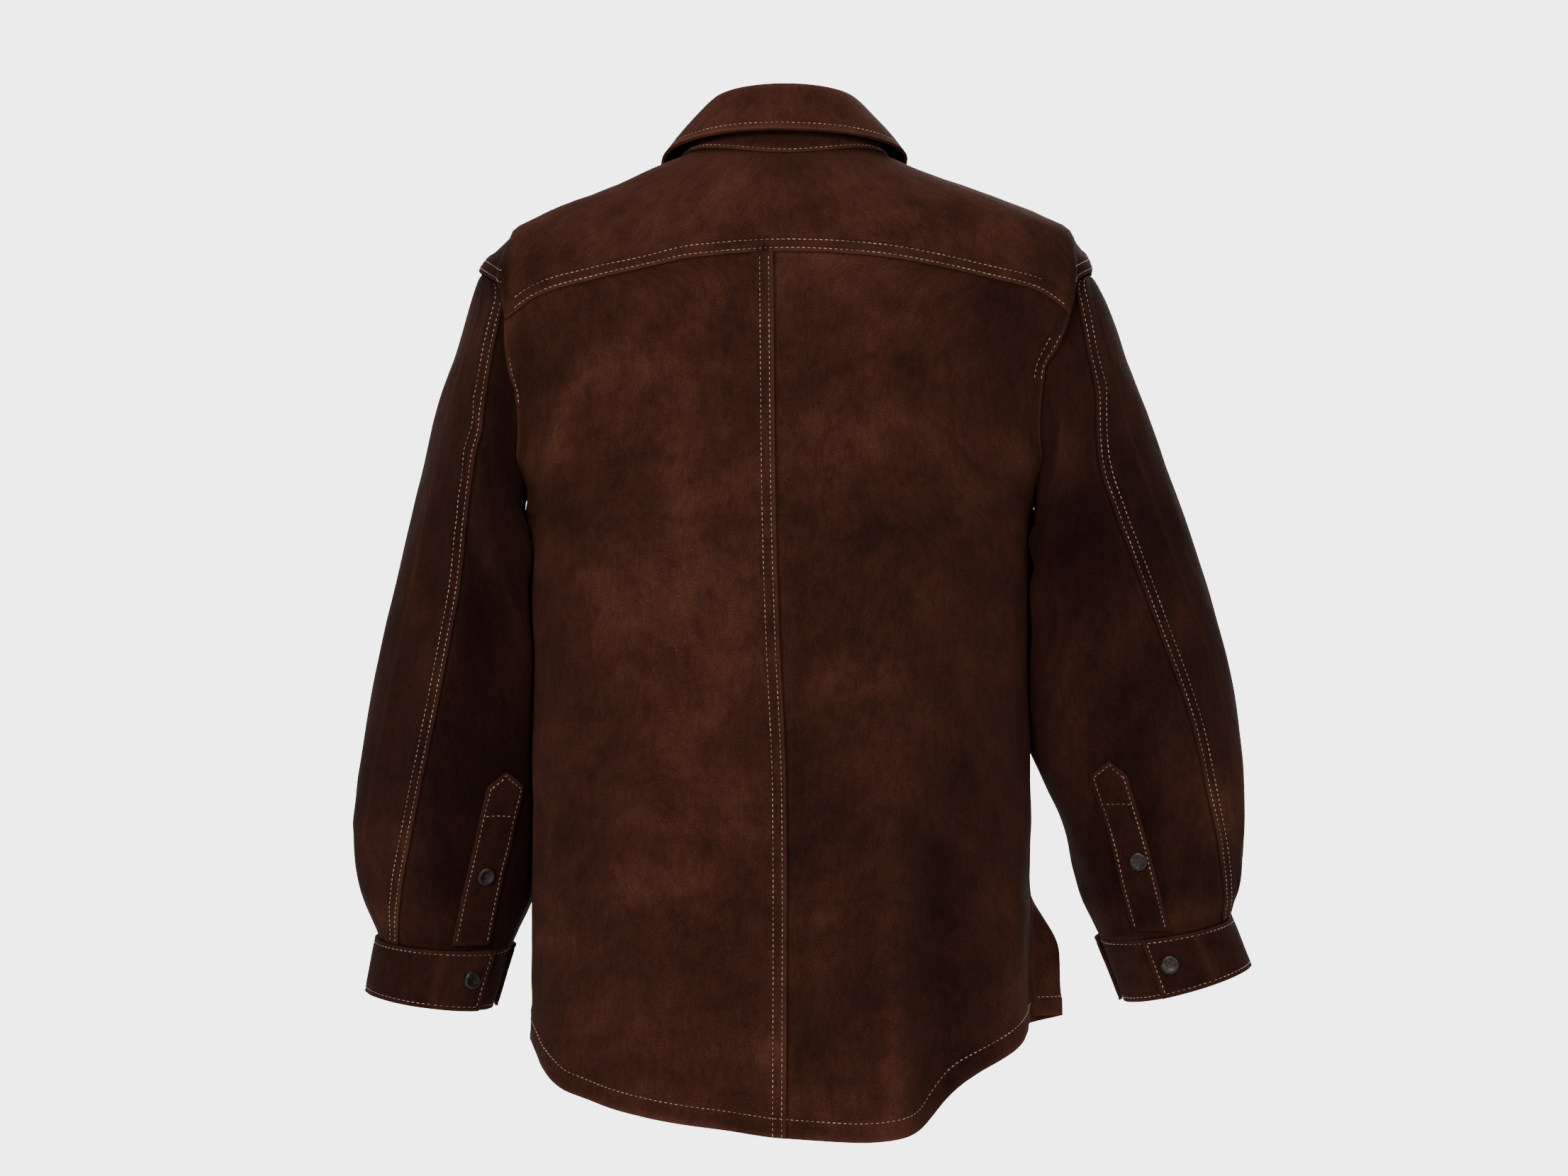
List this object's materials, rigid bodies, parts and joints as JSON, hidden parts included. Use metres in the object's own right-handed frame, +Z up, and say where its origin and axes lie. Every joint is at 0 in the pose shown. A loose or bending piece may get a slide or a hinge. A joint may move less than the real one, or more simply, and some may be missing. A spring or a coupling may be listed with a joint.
{
  "type": "leather work jacket",
  "caption": "Heavy brown suede shirt-jacket with a folded collar, back yoke, two-piece sleeves, snap cuffs, chest flap pockets and a curved shirt-tail hem.",
  "frame": {"origin": "in the neck opening, level with the collar seam at the back", "axes": "+Z up through the neck, the front faces -Y, the wearer's left is +X"},
  "size_m": [0.7051, 0.2764, 0.8117],
  "materials": {
    "suede": "matt brushed suede, worn nap",
    "suede_inside": "matt flesh side",
    "thread": "matt heavy thread",
    "snap_metal": "dark gunmetal, lightly worn"
  },
  "bodies": {
    "torso": {"back_yoke": "suede", "back_panel_left": "suede", "back_panel_right": "suede", "front_yoke_left": "suede", "front_yoke_right": "suede", "front_side_left": "suede", "front_side_right": "suede", "collar_stand": "suede", "collar_leaf": "suede", "hanger_loop": "suede_inside", "front_band_top": "suede", "top_snap_cap": "snap_metal"},
    "front_left": {"front_left": "suede", "front_band": "suede", "front_snap_caps": "snap_metal", "chest_pocket_left": "suede", "pocket_snap_stud_left": "snap_metal"},
    "front_right": {"front_right": "suede", "front_facing": "suede_inside", "front_snap_studs": "snap_metal", "chest_pocket_right": "suede", "pocket_snap_stud_right": "snap_metal"},
    "flap_left": {"pocket_flap_left": "suede", "flap_snap_cap_left": "snap_metal"},
    "sleeve_left": {"sleeve_top_left": "suede", "sleeve_under_left": "suede", "sleeve_placket_left": "suede", "placket_snap_left": "snap_metal", "cuff_band_left": "suede", "cuff_under_end_left": "suede_inside", "cuff_snap_stud_left": "snap_metal"},
    "cuff_tab_left": {"cuff_tab_left": "suede", "cuff_snap_cap_left": "snap_metal"},
    "flap_right": {"pocket_flap_right": "suede", "flap_snap_cap_right": "snap_metal"},
    "sleeve_right": {"sleeve_top_right": "suede", "sleeve_under_right": "suede", "sleeve_placket_right": "suede", "placket_snap_right": "snap_metal", "cuff_band_right": "suede", "cuff_under_end_right": "suede_inside", "cuff_snap_stud_right": "snap_metal"},
    "cuff_tab_right": {"cuff_tab_right": "suede", "cuff_snap_cap_right": "snap_metal"}
  },
  "joints": [
    {"name": "sleeve_left_swing", "type": "hinge", "parent": "torso", "child": "sleeve_left", "pos_m": [0.2352, 0, -0.1], "axis": [0, -1, 0], "range_deg": [0, 40]},
    {"name": "sleeve_right_swing", "type": "hinge", "parent": "torso", "child": "sleeve_right", "pos_m": [-0.2352, 0, -0.1], "axis": [0, 1, 0], "range_deg": [0, 40]},
    {"name": "front_left_open", "type": "hinge", "parent": "torso", "child": "front_left", "pos_m": [0.15, -0.10612, -0.15], "axis": [0, 0, 1], "range_deg": [0, 60]},
    {"name": "front_right_open", "type": "hinge", "parent": "torso", "child": "front_right", "pos_m": [-0.15, -0.10612, -0.15], "axis": [0, 0, -1], "range_deg": [0, 30]},
    {"name": "flap_left_lift", "type": "hinge", "parent": "front_left", "child": "flap_left", "pos_m": [0.0863, -0.12761, -0.19602], "axis": [-0.9847, -0.1745, 0], "range_deg": [0, 100]},
    {"name": "flap_right_lift", "type": "hinge", "parent": "front_right", "child": "flap_right", "pos_m": [-0.0863, -0.12761, -0.19602], "axis": [-0.9847, 0.1745, 0], "range_deg": [0, 100]},
    {"name": "cuff_tab_left_open", "type": "hinge", "parent": "sleeve_left", "child": "cuff_tab_left", "pos_m": [0.2688, -0.00511, -0.64248], "axis": [0.2117, 0, -0.9773], "range_deg": [0, 90]},
    {"name": "cuff_tab_right_open", "type": "hinge", "parent": "sleeve_right", "child": "cuff_tab_right", "pos_m": [-0.33184, -0.00441, -0.62517], "axis": [0.3692, 0, 0.9293], "range_deg": [0, 90]}
  ],
  "couplings": [
    {"joint": "front_right_open", "follows": "front_left_open", "ratio": 0.5}
  ]
}
